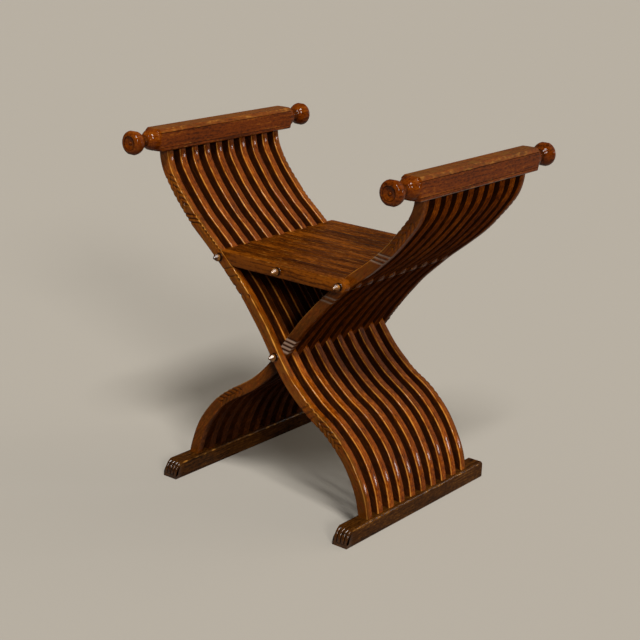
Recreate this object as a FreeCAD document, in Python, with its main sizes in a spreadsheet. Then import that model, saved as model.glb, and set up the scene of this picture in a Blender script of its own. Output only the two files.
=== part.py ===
"""Savonarola chair: two frames of S-curved ribs crossed on one pivot rod, with a
folding seat of hinged slats, two arm rails with turned ends and two foot rails.

Millimetres. Origin on the floor under the middle of the chair, +Z up, the front
faces -Y and +X is on the right hand of someone who looks at the front.
Frame A carries the left arm and the right foot rail, frame B the other two.
"""
import FreeCAD, Part
import math
import os
import Sketcher

doc = FreeCAD.newDocument("savonarola_chair")
sheet = doc.addObject("Spreadsheet::Sheet", "sizes")

# Driving sizes in millimetres, angles in degrees from the horizontal
SIZES = dict(
    # ribs and the layers that they lie in
    layer_pitch=18.0,        # one rib or slat plus its share of the side gap
    rib_thick=17.6,
    rib_width=22.0,
    cross_angle=57.5,        # slope of a rib at the pivot
    thigh_radius=800.0,      # long bow from the pivot up past the seat
    waist_angle=38.0,        # flattest slope above the seat
    side_radius=480.0,       # bow from the waist up to the shoulder
    shoulder_angle=56.0,
    shoulder_radius=90.0,    # tight bow under the arm
    arm_angle=84.0,          # slope where a rib meets its arm
    arm_straight=10.0,
    knee_radius=320.0,       # bow from the pivot down to the shin
    shin_angle=29.5,         # flattest slope below the pivot
    foot_radius=230.0,       # bow from the shin down to the foot rail
    foot_angle=80.0,
    foot_straight=2.0,
    tenon_length=12.0,
    tenon_thick=10.0,
    tenon_width=14.0,
    tenon_gap=0.1,           # clearance all round a tenon in its mortise
    # seat
    seat_angle=41.3,         # slope of a rib where the seat rod goes through it
    slat_height=26.0,
    slat_end_gap=0.5,        # slat end to the face of the rib that it lies against
    hook_length=34.0,        # relief under the open end of a left-hand slat
    hook_rise=3.0,           # how much lower the relief's roof is at its inner end
    # rods and their turned buttons
    rod_radius=4.0,
    rod_fit=0.05,            # running clearance on the radius
    rod_grip=0.02,           # clearance on the radius where a rod is fixed
    button_radius=8.0,
    button_length=19.0,
    button_base_radius=8.5,
    button_base=2.5,
    button_neck_radius=6.4,
    button_neck=3.0,
    button_edge=1.2,         # turned chamfer at the back of the head
    button_point=9.0,        # length of the head's taper
    button_tip_radius=2.0,   # at the taper's end
    button_socket=7.0,
    rod_end_gap=0.5,         # rod end to the bottom of its button's socket
    # arm rails
    arm_width=44.0,
    arm_height=44.0,
    arm_length=405.0,        # square part, between the turned ends
    arm_top_chamfer=6.0,
    arm_bottom_chamfer=2.0,
    quirk_margin_top=1.0,    # from the top chamfer to the sunk line below it
    quirk_margin_low=4.0,    # from the bottom chamfer to the sunk line above it
    quirk_width=1.6,
    quirk_depth=0.8,
    pommel=5.0,              # length over which the square corners run out
    collar_radius=14.0,      # where the rounded end of the bar turns into the neck
    neck_radius=10.0,
    neck_reach=27.0,         # narrowest part of the neck from the ball's widest part
    ball_radius=24.0,
    ball_reach=54.0,         # ball's widest part from the end of the square part
    ball_front=9.5,          # lip of the dish beyond the ball's widest part
    dish_radius=15.0,
    dish_depth=4.0,
    boss_radius=3.5,         # turned boss in the middle of the dish
    boss_height=2.0,
    # foot rails
    foot_width=34.0,
    foot_height=34.0,
    foot_back=225.0,         # from the middle of the rib set to the rear end
    foot_front=222.0,        # the same to the top edge above the paw
    paw_reach=19.0,          # tip of the paw beyond that edge
    paw_toe=8.0,             # upright part of the paw's tip
    foot_chamfer=3.0,
    cut_over=5.0,            # overrun of every cut
)
RIBS = 10                    # ribs in one frame, and half of the slats
# Turned front of a ball, as shares of its radius and of ball_front
BALL_SHARES = ((0.94, 0.58), (0.81, 0.92))


class Size:
    """A number together with the sheet expression that gives it."""

    def __init__(self, number, text):
        self.number = number
        self.text = text

    def _join(self, other, sign, number):
        return Size(number, f"({self.text} {sign} {size(other).text})")

    def __add__(self, other):
        return self._join(other, "+", self.number + size(other).number)

    def __radd__(self, other):
        return size(other) + self

    def __sub__(self, other):
        return self._join(other, "-", self.number - size(other).number)

    def __rsub__(self, other):
        return size(other) - self

    def __mul__(self, other):
        return self._join(other, "*", self.number * size(other).number)

    def __rmul__(self, other):
        return size(other) * self

    def __truediv__(self, other):
        return self._join(other, "/", self.number / size(other).number)

    def __neg__(self):
        return 0 - self


def size(value):
    return value if isinstance(value, Size) else Size(float(value), repr(float(value)))


def sine(angle):
    return Size(math.sin(math.radians(angle.number)), f"sin({angle.text})")


def cosine(angle):
    return Size(math.cos(math.radians(angle.number)), f"cos({angle.text})")


def root(value):
    return Size(math.sqrt(value.number), f"sqrt({value.text})")


for row, (alias, number) in enumerate(SIZES.items(), start=1):
    sheet.set(f"A{row}", alias)
    sheet.set(f"B{row}", str(number))
    sheet.setAlias(f"B{row}", alias)
doc.recompute()
s = {alias: Size(number, f"sizes.{alias}") for alias, number in SIZES.items()}
ZERO = size(0)


# Sketching and body helpers
def pin(sketch, geometry, point, place):
    """Tie a point of the sketch to the origin by two driven distances."""
    for kind, value in zip(("DistanceX", "DistanceY"), place):
        index = sketch.addConstraint(
            Sketcher.Constraint(kind, -1, 1, geometry, point, value.number))
        sketch.setExpression(f"Constraints[{index}]", value.text)


def driven_radius(sketch, geometry, radius):
    index = sketch.addConstraint(Sketcher.Constraint("Radius", geometry, radius.number))
    sketch.setExpression(f"Constraints[{index}]", radius.text)


def vector(place):
    return FreeCAD.Vector(place[0].number, place[1].number, 0)


def add_loop(sketch, start, steps):
    """Close an outline. A step is (end,) for a line or (end, radius, centre) for an
    arc of under half a turn."""
    first = sketch.GeometryCount
    ends = []
    here = start
    for step in steps:
        there = step[0]
        a, b = vector(here), vector(there)
        if len(step) == 1:
            sketch.addGeometry(Part.LineSegment(a, b))
            ends.append((1, 2))
        else:
            c = vector(step[2])
            turn = (a - c).cross(b - c).z
            if turn < 0:
                a, b = b, a
            angles = [math.atan2(p.y - c.y, p.x - c.x) for p in (a, b)]
            circle = Part.Circle(c, FreeCAD.Vector(0, 0, 1), (a - c).Length)
            sketch.addGeometry(Part.ArcOfCircle(circle, angles[0], angles[1]))
            ends.append((1, 2) if turn > 0 else (2, 1))
        here = there
    count = len(steps)
    for number, step in enumerate(steps):
        after = (number + 1) % count
        sketch.addConstraint(Sketcher.Constraint(
            "Coincident", first + number, ends[number][1], first + after, ends[after][0]))
        pin(sketch, first + number, ends[number][1], step[0])
        if len(step) == 3:
            driven_radius(sketch, first + number, step[1])


def add_circle(sketch, centre, radius):
    geometry = sketch.addGeometry(
        Part.Circle(vector(centre), FreeCAD.Vector(0, 0, 1), radius.number))
    pin(sketch, geometry, 3, centre)
    driven_radius(sketch, geometry, radius)


def add_box(sketch, centre, width, height):
    x, z = centre
    corners = [(x - width / 2, z - height / 2), (x + width / 2, z - height / 2),
               (x + width / 2, z + height / 2), (x - width / 2, z + height / 2)]
    add_loop(sketch, corners[0], [(corner,) for corner in corners[1:] + corners[:1]])


def new_body(label, x=ZERO, y=ZERO, z=ZERO):
    body = doc.addObject("PartDesign::Body", label)
    body.Label = label
    for axis, value in zip("xyz", (x, y, z)):
        body.setExpression(f"Placement.Base.{axis}", value.text)
    return body


def new_sketch(body, name, role):
    sketch = body.newObject("Sketcher::SketchObject", name)
    plane = next(o for o in body.Origin.OriginFeatures if o.Role == role)
    sketch.AttachmentSupport = [(plane, "")]
    sketch.MapMode = "FlatFace"
    return sketch


def pad(body, sketch, length):
    feature = body.newObject("PartDesign::Pad", sketch.Name + "_pad")
    feature.Profile = sketch
    feature.Midplane = True
    feature.setExpression("Length", length.text)
    return feature


def pocket(body, sketch, length):
    feature = body.newObject("PartDesign::Pocket", sketch.Name + "_pocket")
    feature.Profile = sketch
    feature.Midplane = True
    feature.setExpression("Length", length.text)
    return feature


def turned(body, sketch, kind):
    """A PartDesign Revolution or Groove about the sketch's upright axis."""
    feature = body.newObject("PartDesign::" + kind, f"{sketch.Name}_{kind.lower()}")
    feature.Profile = sketch
    feature.ReferenceAxis = (sketch, ["V_Axis"])
    feature.Angle = 360
    return feature


# Centre line of a rib of frame A, as places and slopes from the pivot outwards
class Bow:
    """One arc of the centre line: its centre, radius and the side it bulges to."""

    def __init__(self, centre, radius, side):
        self.centre = centre
        self.radius = radius
        self.side = side     # +1 where the centre lies below the rib, -1 above it

    def place(self, angle, offset=ZERO):
        """Point at a slope, offset towards the rib's upper face."""
        reach = self.side * self.radius + offset
        return (self.centre[0] + reach * sine(angle), self.centre[1] + reach * cosine(angle))

    def edge_radius(self, offset):
        return self.radius + self.side * offset


def bow_from(place, angle, radius, side):
    reach = side * radius
    return Bow((place[0] - reach * sine(angle), place[1] - reach * cosine(angle)), radius, side)


half_rib = s["rib_width"] / 2
foot_drop = (s["knee_radius"] * (cosine(s["shin_angle"]) - cosine(s["cross_angle"]))
             + s["foot_radius"] * (cosine(s["shin_angle"]) - cosine(s["foot_angle"]))
             + s["foot_straight"] * sine(s["foot_angle"]))
pivot = (ZERO, s["foot_height"] + foot_drop)
thigh = bow_from(pivot, s["cross_angle"], s["thigh_radius"], 1)
side_bow = bow_from(thigh.place(s["waist_angle"]), s["waist_angle"], s["side_radius"], -1)
shoulder = bow_from(side_bow.place(s["shoulder_angle"]), s["shoulder_angle"],
                    s["shoulder_radius"], -1)
knee = bow_from(pivot, s["cross_angle"], s["knee_radius"], -1)
foot_bow = bow_from(knee.place(s["shin_angle"]), s["shin_angle"], s["foot_radius"], 1)

seat_rod = thigh.place(s["seat_angle"])
seat_reach = -seat_rod[0]
seat_height = seat_rod[1]
arm_root = shoulder.place(s["arm_angle"])
arm_under = arm_root[1] + s["arm_straight"] * sine(s["arm_angle"])
arm_reach = -(arm_root[0] - s["arm_straight"] * cosine(s["arm_angle"]))
foot_root = foot_bow.place(s["foot_angle"])
foot_reach = foot_root[0] + s["foot_straight"] * cosine(s["foot_angle"])


def run_out(place, angle, height):
    """Carry an edge on along its slope to a given height."""
    fall = place[1] - height
    return (place[0] + fall * cosine(angle) / sine(angle), height)


def mirrored(place, hand):
    return place if hand > 0 else (-place[0], place[1])


def layer_middle(layer):
    return (layer + 0.5 - RIBS) * s["layer_pitch"]


# Ribs: a sawn S-curve with a stub tenon at each end and two rod holes
def rib_outline(sketch, hand):
    stops = []
    for offset in (half_rib, -half_rib):
        stops.append([
            (run_out(shoulder.place(s["arm_angle"], offset), s["arm_angle"], arm_under), None),
            (shoulder.place(s["arm_angle"], offset), None),
            (side_bow.place(s["shoulder_angle"], offset), (shoulder, offset)),
            (thigh.place(s["waist_angle"], offset), (side_bow, offset)),
            (thigh.place(s["cross_angle"], offset), (thigh, offset)),
            (knee.place(s["shin_angle"], offset), (knee, offset)),
            (foot_bow.place(s["foot_angle"], offset), (foot_bow, offset)),
            (run_out(foot_bow.place(s["foot_angle"], offset), s["foot_angle"],
                     s["foot_height"]), None)])
    upper, lower = stops
    steps = [step_to(place, bow, hand) for place, bow in upper[1:]]
    steps.append((mirrored(lower[-1][0], hand),))
    for (place, _), (_, bow) in zip(lower[-2::-1], lower[:0:-1]):
        steps.append(step_to(place, bow, hand))
    steps.append((mirrored(upper[0][0], hand),))
    add_loop(sketch, mirrored(upper[0][0], hand), steps)


def step_to(place, bow, hand):
    if bow is None:
        return (mirrored(place, hand),)
    arc, offset = bow
    return (mirrored(place, hand), arc.edge_radius(offset), mirrored(arc.centre, hand))


def make_rib(label, layer, hand, pivot_clearance):
    body = new_body(label, y=layer_middle(layer))
    outline = new_sketch(body, label + "_outline", "XZ_Plane")
    rib_outline(outline, hand)
    pad(body, outline, s["rib_thick"])
    tenons = new_sketch(body, label + "_tenons", "XZ_Plane")
    for root_place in ((-arm_reach, arm_under), (foot_reach, s["foot_height"])):
        add_box(tenons, mirrored(root_place, hand), s["tenon_width"], 2 * s["tenon_length"])
    pad(body, tenons, s["tenon_thick"])
    holes = new_sketch(body, label + "_holes", "XZ_Plane")
    add_circle(holes, pivot, s["rod_radius"] + pivot_clearance)
    add_circle(holes, mirrored(seat_rod, hand), s["rod_radius"] + s["rod_grip"])
    pocket(body, holes, s["rib_thick"] + s["cut_over"])
    return body


# Seat slats: each hinges on one seat rod, is pinned on the middle rod and butts
# against the ribs of its own layer at the other end
half_slat = s["slat_height"] / 2


def rib_face_x(height):
    """Left rib's upper face at a height near the seat."""
    reach = s["thigh_radius"] + half_rib
    rise = height - thigh.centre[1]
    return thigh.centre[0] + root(reach * reach - rise * rise)


def make_slat(label, layer, hand, hooked):
    body = new_body(label, y=layer_middle(layer))
    top = seat_height + half_slat
    bottom = seat_height - half_slat
    gap = s["slat_end_gap"]
    hinge = (seat_reach, seat_height)
    free_top = (rib_face_x(top) + gap, top)
    free_bottom = (rib_face_x(bottom) + gap, bottom)
    steps = [((seat_reach, top),), ((seat_reach + half_slat, seat_height), half_slat, hinge)]
    steps.append(((seat_reach, bottom), half_slat, hinge))
    steps += [(free_bottom,), (free_top,)]
    outline = new_sketch(body, label + "_outline", "XZ_Plane")
    add_loop(outline, mirrored(free_top, hand),
             [(mirrored(step[0], hand),) if len(step) == 1 else
              (mirrored(step[0], hand), step[1], mirrored(step[2], hand)) for step in steps])
    pad(body, outline, s["rib_thick"])
    holes = new_sketch(body, label + "_holes", "XZ_Plane")
    running = s["rod_radius"] + s["rod_fit"]
    if hooked:
        add_circle(holes, (ZERO, seat_height), running)
        left = seat_reach + running
        inner = seat_reach - s["hook_length"]
        below = bottom - s["cut_over"]
        roof = seat_height + running
        steps = [((left, below),), ((left, seat_height),),
                 ((seat_reach, roof), running, hinge),
                 ((seat_reach - running, roof),),
                 ((inner, roof - s["hook_rise"]),),
                 ((inner, below),)]
        add_loop(holes, mirrored((inner, below), hand),
                 [(mirrored(step[0], hand),) if len(step) == 1 else
                  (mirrored(step[0], hand), step[1], mirrored(step[2], hand))
                  for step in steps])
    else:
        add_circle(holes, (ZERO, seat_height), s["rod_radius"] + s["rod_grip"])
        add_circle(holes, mirrored(hinge, hand), running)
    pocket(body, holes, s["rib_thick"] + s["cut_over"])
    return body


# Rods and the turned buttons on their ends
half_depth = RIBS * s["layer_pitch"]


def make_rod(label, place):
    rod = doc.addObject("Part::Cylinder", label)
    rod.Label = label
    reach = half_depth + s["button_socket"] - s["rod_end_gap"]
    rod.setExpression("Radius", s["rod_radius"].text)
    rod.setExpression("Height", (2 * reach).text)
    rod.Placement.Rotation = FreeCAD.Rotation(FreeCAD.Vector(1, 0, 0), -90)
    for axis, value in zip("xyz", (place[0], -reach, place[1])):
        rod.setExpression(f"Placement.Base.{axis}", value.text)
    return rod


def make_button(label, place, front):
    body = new_body(label, place[0], -half_depth if front else half_depth, place[1])
    profile = new_sketch(body, label + "_profile", "XY_Plane")
    way = -1 if front else 1
    bore = s["rod_radius"] + s["rod_grip"]
    socket = way * s["button_socket"]
    base = way * s["button_base"]
    neck = way * (s["button_base"] + s["button_neck"])
    end = way * s["button_length"]
    edge = s["button_edge"]
    steps = [((s["button_base_radius"], ZERO),), ((s["button_base_radius"], base),),
             ((s["button_neck_radius"], base),), ((s["button_neck_radius"], neck),),
             ((s["button_radius"] - edge, neck),), ((s["button_radius"], neck + way * edge),),
             ((s["button_radius"], end - way * s["button_point"]),),
             ((s["button_tip_radius"], end),),
             ((ZERO, end),), ((ZERO, socket),), ((bore, socket),), ((bore, ZERO),)]
    add_loop(profile, (bore, ZERO), steps)
    turned(body, profile, "Revolution")
    return body


# Arm rails: a moulded bar with mortises below and a turned ball on each end
half_arm = s["arm_width"] / 2
collar_run = root(half_arm * half_arm - s["collar_radius"] * s["collar_radius"])


def finial_steps(way):
    """Half section of the neck and the dished ball, from inside the bar outwards."""
    flat = s["arm_length"] / 2
    ball = s["ball_radius"]
    middle = flat + s["ball_reach"]
    narrow, back = s["neck_radius"], s["neck_reach"]
    away = narrow * narrow + back * back
    run = root(away - ball * ball)
    touch = ball * (ball * narrow + run * back) / away
    touch_back = root(ball * ball - touch * touch)
    lip = middle + s["ball_front"]
    floor = lip - s["dish_depth"]
    start = (ZERO, way * (flat - s["cut_over"]))
    outline = [(s["collar_radius"], flat - s["cut_over"]),
               (s["collar_radius"], flat + collar_run),
               (narrow, middle - back), (touch, middle - touch_back)]
    steps = [((x, way * y),) for x, y in outline]
    steps.append(((ball, way * middle), ball, (ZERO, way * middle)))
    front = [(ball * wide, middle + s["ball_front"] * along) for wide, along in BALL_SHARES]
    front += [(s["dish_radius"], lip), (s["boss_radius"], floor),
              (ZERO, floor + s["boss_height"])]
    steps += [((x, way * y),) for x, y in front]
    steps.append((start,))
    return start, steps


def pommel_steps(way):
    """Half section outside the shoulder that turns the square bar to round."""
    flat = way * s["arm_length"] / 2
    half_tall = s["arm_height"] / 2
    corner = root(half_arm * half_arm + half_tall * half_tall)
    collar = s["collar_radius"]
    top = flat + way * collar_run
    past = top + way * s["cut_over"]
    outside = corner + s["cut_over"]
    start = (corner, flat - way * s["pommel"])
    steps = [((half_arm, flat),), ((collar, top), half_arm, (ZERO, flat)), ((collar, past),),
             ((outside, past),), ((outside, start[1]),), (start,)]
    return start, steps


def quirk(face, height):
    """A sunk V line along an upright face, from a height upwards."""
    width = s["quirk_width"]
    return [(face, height), (face - s["quirk_depth"], height + width / 2), (face, height + width)]


def make_arm(label, x, y):
    body = new_body(label, x, y, arm_under + s["arm_height"] / 2)
    half_tall = s["arm_height"] / 2
    top, low = s["arm_top_chamfer"], s["arm_bottom_chamfer"]
    section = new_sketch(body, label + "_section", "XZ_Plane")
    right = [(half_arm - low, -half_tall), (half_arm, -half_tall + low)]
    right += quirk(half_arm, -half_tall + low + s["quirk_margin_low"])
    right += quirk(half_arm, half_tall - top - s["quirk_margin_top"] - s["quirk_width"])
    right += [(half_arm, half_tall - top), (half_arm - top, half_tall)]
    corners = right + [(-place[0], place[1]) for place in reversed(right)]
    add_loop(section, corners[0], [(corner,) for corner in corners[1:] + corners[:1]])
    pad(body, section, s["arm_length"] + 2 * collar_run)
    shoulders = new_sketch(body, label + "_shoulders", "XY_Plane")
    for way in (-1, 1):
        add_loop(shoulders, *pommel_steps(way))
    turned(body, shoulders, "Groove")
    finials = new_sketch(body, label + "_finials", "XY_Plane")
    for way in (-1, 1):
        add_loop(finials, *finial_steps(way))
    turned(body, finials, "Revolution")
    mortises(body, label, -half_tall)
    return body


def mortises(body, label, face):
    """A row of mortises in a level face, one for each rib of the frame."""
    sketch = new_sketch(body, label + "_mortises", "XY_Plane")
    sketch.setExpression("AttachmentOffset.Base.z", face.text)
    gap = s["tenon_gap"]
    for number in range(RIBS):
        along = (2 * number + 1 - RIBS) * s["layer_pitch"]
        add_box(sketch, (ZERO, along), s["tenon_width"] + 2 * gap, s["tenon_thick"] + 2 * gap)
    pocket(body, sketch, 2 * (s["tenon_length"] + gap))


# Foot rails: a bar with mortises above, its upper edges and its rear end chamfered, and
# its front end cut to a sloping paw
def make_foot_rail(label, x, y):
    body = new_body(label, x, y)
    side = new_sketch(body, label + "_side", "YZ_Plane")
    tall, back, front = s["foot_height"], s["foot_back"], -s["foot_front"]
    tip = front - s["paw_reach"]
    toe = s["paw_toe"]
    rise = tall - toe
    bend = (s["paw_reach"] * s["paw_reach"] + rise * rise) / (2 * s["paw_reach"])
    cut = s["foot_chamfer"]
    start = (front, tall)
    add_loop(side, start, [
        ((back - cut, tall),), ((back, tall - cut),), ((back, ZERO),), ((tip, ZERO),),
        ((tip, toe),), (start, bend, (tip + bend, toe))])
    pad(body, side, s["foot_width"])
    arrises = new_sketch(body, label + "_arrises", "XZ_Plane")
    edge = s["foot_width"] / 2
    over = s["cut_over"]
    for hand in (1, -1):
        corner = mirrored((edge + over, tall - cut - over), hand)
        steps = [(mirrored((edge + over, tall + over), hand),),
                 (mirrored((edge - cut - over, tall + over), hand),), (corner,)]
        add_loop(arrises, corner, steps)
    pocket(body, arrises, 2 * (s["foot_back"] + s["foot_front"] + s["paw_reach"]))
    mortises(body, label, tall)
    return body


# The frames, with the ribs of A in the odd layers and those of B in the even ones
frame_a_middle = -s["layer_pitch"] / 2
frame_b_middle = s["layer_pitch"] / 2
nodes = []
for number in range(RIBS):
    nodes.append(make_rib(f"rib_a_{number + 1:02d}", 2 * number, 1, s["rod_grip"]))
    nodes.append(make_rib(f"rib_b_{number + 1:02d}", 2 * number + 1, -1, s["rod_fit"]))
nodes.append(make_arm("arm_left", -arm_reach, frame_a_middle))
nodes.append(make_arm("arm_right", arm_reach, frame_b_middle))
nodes.append(make_foot_rail("foot_rail_right", foot_reach, frame_a_middle))
nodes.append(make_foot_rail("foot_rail_left", -foot_reach, frame_b_middle))

# The seat, with right-hinged slats in the layers of A and left-hinged ones in those of B
for number in range(RIBS):
    nodes.append(make_slat(f"slat_right_{number + 1:02d}", 2 * number, 1, False))
    nodes.append(make_slat(f"slat_left_{number + 1:02d}", 2 * number + 1, -1, True))

rod_places = dict(pivot=pivot, seat_left=(-seat_reach, seat_height),
                  seat_right=(seat_reach, seat_height), seat_middle=(ZERO, seat_height))
for name, place in rod_places.items():
    nodes.append(make_rod("rod_" + name, place))
    nodes.append(make_button(f"button_{name}_front", place, True))
    nodes.append(make_button(f"button_{name}_back", place, False))

doc.recompute()
for thing in doc.Objects:
    if {"Invalid", "Error"} & set(thing.State):
        raise RuntimeError(f"{thing.Label} failed to build")
for node in nodes:
    if node.Shape.isNull() or not node.Shape.isValid() or len(node.Shape.Solids) != 1:
        raise RuntimeError(f"{node.Label} isn't one valid solid")
os.makedirs("parts", exist_ok=True)
for node in nodes:
    node.Shape.exportStep(f"parts/{node.Label}.step")

box = Part.makeCompound([node.Shape for node in nodes]).optimalBoundingBox(True, False)
print(f"{len(nodes)} nodes, {box.XLength:.1f} x {box.YLength:.1f} x {box.ZLength:.1f} mm")
print(f"pivot height {pivot[1].number:.2f}, seat rod reach {seat_reach.number:.2f}",
      f"height {seat_height.number:.2f}")
print(f"arm reach {arm_reach.number:.2f}, under {arm_under.number:.2f},",
      f"foot reach {foot_reach.number:.2f}")
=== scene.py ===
import math
import random

import bmesh
import bpy
import numpy as np
from mathutils import Matrix, Vector


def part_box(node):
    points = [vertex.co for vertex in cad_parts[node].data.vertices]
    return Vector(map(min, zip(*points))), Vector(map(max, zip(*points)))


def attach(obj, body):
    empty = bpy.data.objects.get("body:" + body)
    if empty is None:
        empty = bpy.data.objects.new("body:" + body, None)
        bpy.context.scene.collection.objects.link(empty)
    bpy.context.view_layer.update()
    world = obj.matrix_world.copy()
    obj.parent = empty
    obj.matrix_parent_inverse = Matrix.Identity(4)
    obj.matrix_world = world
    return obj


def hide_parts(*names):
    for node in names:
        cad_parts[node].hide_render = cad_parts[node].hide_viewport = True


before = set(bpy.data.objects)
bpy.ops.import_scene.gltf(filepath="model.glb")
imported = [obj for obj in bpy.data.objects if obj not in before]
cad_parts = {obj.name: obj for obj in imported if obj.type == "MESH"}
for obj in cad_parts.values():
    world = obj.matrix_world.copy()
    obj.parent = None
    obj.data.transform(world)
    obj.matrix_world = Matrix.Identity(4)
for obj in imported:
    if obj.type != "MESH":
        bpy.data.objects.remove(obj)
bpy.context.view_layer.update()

# The camera stands in front and to the right of the chair, a little above the arm rails, with
# a long lens: the view that the chair was fitted to.
CAMERA_PLACE = Vector((1.7344, -2.2968, 1.2413))
CAMERA_AZIMUTH = math.radians(37.58)
CAMERA_ELEVATION = math.radians(17.39)
CAMERA_ROLL = math.radians(2.26)
LENS = 84.40
SENSOR = 36.0
FRAME_PIXELS = 640
AXIS_PIXELS_UP = 2

toward = Vector((math.sin(CAMERA_AZIMUTH) * math.cos(CAMERA_ELEVATION),
                 -math.cos(CAMERA_AZIMUTH) * math.cos(CAMERA_ELEVATION),
                 math.sin(CAMERA_ELEVATION)))
level = Vector((math.cos(CAMERA_AZIMUTH), math.sin(CAMERA_AZIMUTH), 0))
upright = toward.cross(level)
roll_cos, roll_sin = math.cos(CAMERA_ROLL), math.sin(CAMERA_ROLL)
right = roll_cos * level + roll_sin * upright
up = roll_cos * upright - roll_sin * level
lens = bpy.data.cameras.new("camera")
lens.lens = LENS
lens.sensor_width = SENSOR
lens.shift_y = -AXIS_PIXELS_UP / FRAME_PIXELS
camera = bpy.data.objects.new("camera", lens)
camera.matrix_world = Matrix((right, up, toward)).transposed().to_4x4()
camera.location = CAMERA_PLACE
bpy.context.scene.collection.objects.link(camera)
bpy.context.scene.camera = camera


# A plain pale floor that the chair stands on. To the eye it is paler than to the light that
# it throws back up, so that the undersides of the ribs stay dark.
FLOOR_HALF = 30.0
FLOOR_SEEN = (0.46, 0.435, 0.39, 1)
FLOOR_LIT = (0.12, 0.09, 0.06, 1)
FLOOR_ROUGHNESS = 0.85


def new_piece(name, points, faces, sharp=40.0):
    """A mesh object with its faces turned outwards, smooth but for its sharp edges."""
    mesh = bpy.data.meshes.new(name)
    mesh.from_pydata([tuple(point) for point in points], [], faces)
    shell = bmesh.new()
    shell.from_mesh(mesh)
    bmesh.ops.recalc_face_normals(shell, faces=shell.faces)
    shell.to_mesh(mesh)
    shell.free()
    mesh.shade_smooth()
    mesh.set_sharp_from_angle(angle=math.radians(sharp))
    piece = bpy.data.objects.new(name, mesh)
    bpy.context.scene.collection.objects.link(piece)
    return piece


def new_material(name):
    """A material with nothing but its shader and output, and its node tree."""
    material = bpy.data.materials.new(name)
    material.use_nodes = True
    return material, material.node_tree, material.node_tree.nodes["Principled BSDF"]


def put(tree, kind, **settings):
    """Adds a node. A setting is a property, or the value of the input of that name."""
    node = tree.nodes.new("ShaderNode" + kind)
    for key, value in settings.items():
        if hasattr(node, key):
            setattr(node, key, value)
        else:
            node.inputs[key.replace("_", " ")].default_value = value
    return node


floor = new_piece("floor", [(x * FLOOR_HALF, y * FLOOR_HALF, 0) for x, y in
                            ((-1, -1), (1, -1), (1, 1), (-1, 1))], [(0, 1, 2, 3)])
floor_paint, tree, shader = new_material("floor_paint")
path = put(tree, "LightPath")
mirrored = put(tree, "Math", operation="MAXIMUM")
tree.links.new(path.outputs["Is Glossy Ray"], mirrored.inputs[0])
tree.links.new(path.outputs["Is Transmission Ray"], mirrored.inputs[1])
straight = put(tree, "Math", operation="MAXIMUM")
tree.links.new(path.outputs["Is Camera Ray"], straight.inputs[0])
tree.links.new(mirrored.outputs[0], straight.inputs[1])
seen = put(tree, "Mix", data_type="RGBA")
seen.inputs[6].default_value = FLOOR_LIT
seen.inputs[7].default_value = FLOOR_SEEN
tree.links.new(straight.outputs[0], seen.inputs["Factor"])
tree.links.new(seen.outputs[2], shader.inputs["Base Color"])
shader.inputs["Roughness"].default_value = FLOOR_ROUGHNESS
shader.inputs["Specular IOR Level"].default_value = 0.0
floor.data.materials.append(floor_paint)


# Soft studio light from four far lights, which reach the whole floor alike: a high one in
# front, a small one beside the camera, a weak one low behind on the right and a wide one high
# behind. A little comes from the room.
ROOM_COLOUR = (1.0, 0.90, 0.78, 1)
ROOM_STRENGTH = 0.10
FAR_LIGHTS = (("high_front", (0.38, -0.38, 0.84), 16.0, 2.7, (1.0, 0.97, 0.93)),
              ("beside_camera", (0.78, -0.52, 0.40), 11.5, 1.06, (1.0, 0.96, 0.90)),
              ("behind_right", (0.62, 0.75, 0.12), 6.7, 0.25, (0.92, 0.96, 1.0)),
              ("high_back", (0.45, 0.75, 0.50), 60.0, 0.50, (1.0, 0.86, 0.68)))

world = bpy.data.worlds.new("room")
world.use_nodes = True
glow = world.node_tree.nodes["Background"]
glow.inputs["Color"].default_value = ROOM_COLOUR
glow.inputs["Strength"].default_value = ROOM_STRENGTH
bpy.context.scene.world = world
for name, way, spread, strength, colour in FAR_LIGHTS:
    light = bpy.data.lights.new(name, "SUN")
    light.angle = math.radians(spread)
    light.energy = strength
    light.color = colour
    lamp = bpy.data.objects.new(name, light)
    lamp.rotation_euler = Vector(way).to_track_quat("Z", "Y").to_euler()
    bpy.context.scene.collection.objects.link(lamp)
bpy.context.scene.view_settings.view_transform = "Standard"


# The ribs are sawn from varnished walnut boards to one S-curve: a bow past the seat, a bow out
# to the arm rail, a bow in at the knee and one down to the foot rail. Frame A runs from the
# left arm to the right foot, frame B the other way, and both turn on the pivot rod.
THIGH_RADIUS = 0.800
SIDE_RADIUS = 0.480
SHOULDER_RADIUS = 0.090
KNEE_RADIUS = 0.320
FOOT_RADIUS = 0.230
CROSS_ANGLE = math.radians(57.5)
WAIST_ANGLE = math.radians(38.0)
SHOULDER_ANGLE = math.radians(56.0)
ARM_ANGLE = math.radians(84.0)
SHIN_ANGLE = math.radians(29.5)
FOOT_ANGLE = math.radians(80.0)
ARM_STRAIGHT = 0.010
FOOT_STRAIGHT = 0.002
RIB_WIDTH = 0.022
UPPER_ARRIS = 0.0034
LOWER_ARRIS = 0.0014
UNDERSIDE = -0.43 * RIB_WIDTH
FLANK = 0.999
FLANK_EDGE = 0.98
RIB_STEP = 0.006
CARVED_STEP = 0.0009
CARVED_COLUMNS = 22
ARRIS_STEPS = 4
# Arrises are paler at the front and on the upper side: partly wear, partly a painted highlight.
ARRIS_WEAR_AND_HIGHLIGHT = (0.0, 0.45, 1.0, 0.45, 0.0)
LOWER_WEAR_AND_HIGHLIGHT = 0.45
BACK_WEAR_AND_HIGHLIGHT = 0.6
RIB_WAVER = 0.00025
WAVER_WAVES = (31, 83)
SWELL_WAVES = 47
SETTING_IN = 0.001
CUT_GRIME = 0.40
GRIMY_DEPTH = 0.0020
# Painted shade on the faces between the ribs, which the next rib shades.
BETWEEN_RIBS_SHADE = 0.58
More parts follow.
